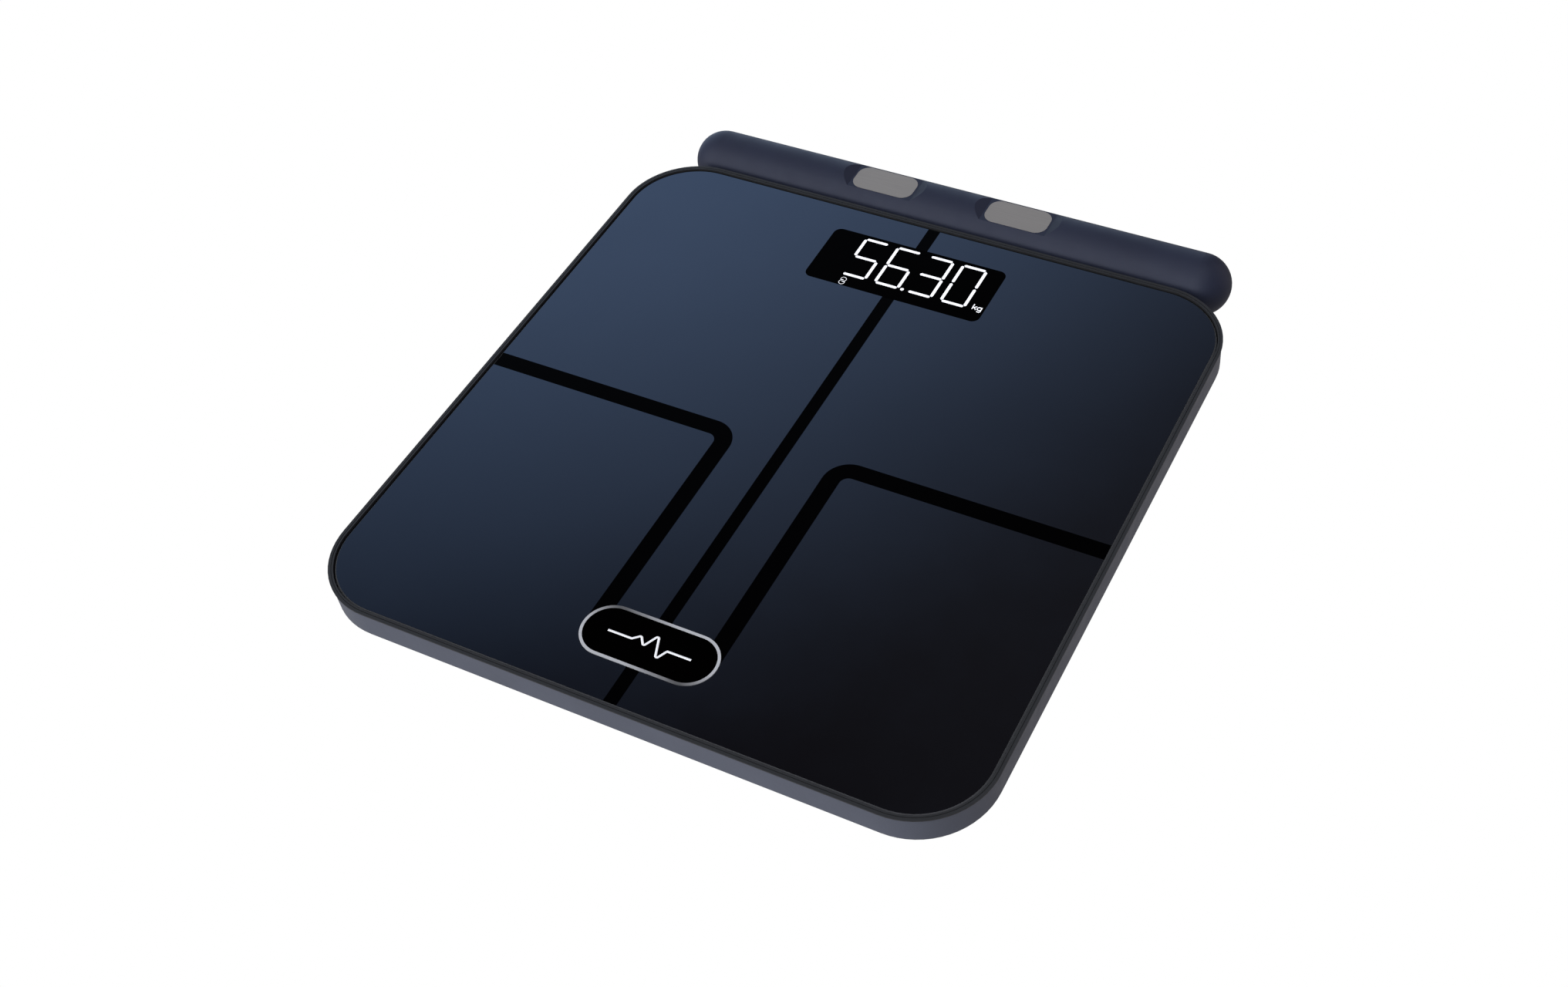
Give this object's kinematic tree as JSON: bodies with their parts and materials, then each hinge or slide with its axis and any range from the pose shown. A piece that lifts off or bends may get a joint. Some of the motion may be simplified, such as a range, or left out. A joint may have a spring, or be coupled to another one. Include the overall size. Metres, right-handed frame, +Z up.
{
  "type": "digital bathroom scale",
  "caption": "Square glass-topped digital bathroom scale with rounded corners, a lit display and a lift-out hand electrode bar docked behind its back edge.",
  "frame": {"origin": "middle of the footprint, on the floor under the foot pads", "axes": "+X to the right, +Y back towards the docked hand bar, +Z up"},
  "size_m": [0.3, 0.3298, 0.0332],
  "materials": {
    "glass": "polished, dark",
    "electrode_film": "mirror-smooth dark blue",
    "badge_ring_metal": "brushed",
    "gloss_black": "gloss",
    "display_light": "lit white",
    "bezel_plastic": "satin dark grey",
    "black_print": "matt",
    "foam": "closed-cell foam",
    "inner_plastic": "moulded",
    "shell_metal": "satin blue-grey",
    "cover_plastic": "fine texture",
    "steel": "bright",
    "rubber": "matt",
    "battery_wrap": "gloss wrap",
    "board_green": "solder mask",
    "black_plastic": "moulded",
    "magnet_nickel": "nickel plated",
    "handle_plastic": "soft-touch navy",
    "electrode_steel": "bead-blasted"
  },
  "bodies": {
    "scale_body": {"glass_platform": "glass", "electrode_front_left": "electrode_film", "electrode_front_right": "electrode_film", "electrode_back_left": "electrode_film", "electrode_back_right": "electrode_film", "badge_ring": "badge_ring_metal", "badge_plate": "gloss_black", "display_window": "gloss_black", "display_segments": "display_light", "bezel_frame": "bezel_plastic", "glass_mask": "black_print", "glass_tape": "foam", "platform_tray": "inner_plastic", "side_shell": "shell_metal", "bottom_cover": "cover_plastic", "housing_screws": "steel", "load_cell_front_left": "steel", "load_cell_front_right": "steel", "load_cell_back_left": "steel", "load_cell_back_right": "steel", "load_cell_brackets": "inner_plastic", "battery_box": "inner_plastic", "batteries": "battery_wrap", "battery_contacts": "steel", "unit_switch": "black_plastic", "main_board": "board_green", "main_board_parts": "black_plastic", "board_screws": "steel", "display_module": "black_plastic", "display_board": "board_green", "reel_case": "inner_plastic", "reel_cover": "inner_plastic", "reel_axle": "steel", "reel_spring": "steel", "cord_outlet": "black_plastic", "dock_cradle": "cover_plastic", "cradle_screws": "steel", "dock_magnets": "magnet_nickel"},
    "handle": {"handle_upper_shell": "handle_plastic", "handle_lower_shell": "handle_plastic", "thumb_electrode_left": "electrode_steel", "thumb_electrode_right": "electrode_steel", "finger_electrode_left": "electrode_steel", "finger_electrode_right": "electrode_steel", "handle_board": "board_green", "handle_inlet": "black_plastic", "handle_screws": "steel", "handle_magnets": "magnet_nickel"},
    "cord_reel": {"reel_drum": "inner_plastic"},
    "battery_door": {"battery_door": "cover_plastic"},
    "unit_button": {"unit_button": "black_plastic"},
    "foot_front_left": {"foot_front_left": "cover_plastic", "foot_pad_front_left": "rubber"},
    "foot_front_right": {"foot_front_right": "cover_plastic", "foot_pad_front_right": "rubber"},
    "foot_back_left": {"foot_back_left": "cover_plastic", "foot_pad_back_left": "rubber"},
    "foot_back_right": {"foot_back_right": "cover_plastic", "foot_pad_back_right": "rubber"}
  },
  "joints": [
    {"name": "handle_lift", "type": "slide", "parent": "scale_body", "child": "handle", "axis": [0, 0, 1], "range_m": [0, 0.85]},
    {"name": "reel_spin", "type": "hinge", "parent": "scale_body", "child": "cord_reel", "pos_m": [-0.02, 0.0631, 0.0113], "axis": [0, 0, 1], "range_deg": [0, 2440]},
    {"name": "battery_door_hinge", "type": "hinge", "parent": "scale_body", "child": "battery_door", "pos_m": [0, -0.0608, 0.007], "axis": [1, 0, 0], "range_deg": [0, 85]},
    {"name": "unit_button_press", "type": "slide", "parent": "scale_body", "child": "unit_button", "axis": [0, 0, 1], "range_m": [0, 0.001], "stiffness_N_per_m": 300, "springref_m": -0.002},
    {"name": "foot_travel_front_left", "type": "slide", "parent": "scale_body", "child": "foot_front_left", "axis": [0, 0, 1], "range_m": [0, 0.0004], "stiffness_N_per_m": 2000, "springref_m": -0.006},
    {"name": "foot_travel_front_right", "type": "slide", "parent": "scale_body", "child": "foot_front_right", "axis": [0, 0, 1], "range_m": [0, 0.0004], "stiffness_N_per_m": 2000, "springref_m": -0.006},
    {"name": "foot_travel_back_left", "type": "slide", "parent": "scale_body", "child": "foot_back_left", "axis": [0, 0, 1], "range_m": [0, 0.0004], "stiffness_N_per_m": 2000, "springref_m": -0.006},
    {"name": "foot_travel_back_right", "type": "slide", "parent": "scale_body", "child": "foot_back_right", "axis": [0, 0, 1], "range_m": [0, 0.0004], "stiffness_N_per_m": 2000, "springref_m": -0.006}
  ],
  "couplings": [
    {"joint": "reel_spin", "follows": "handle_lift", "rad_per_m": 50}
  ]
}
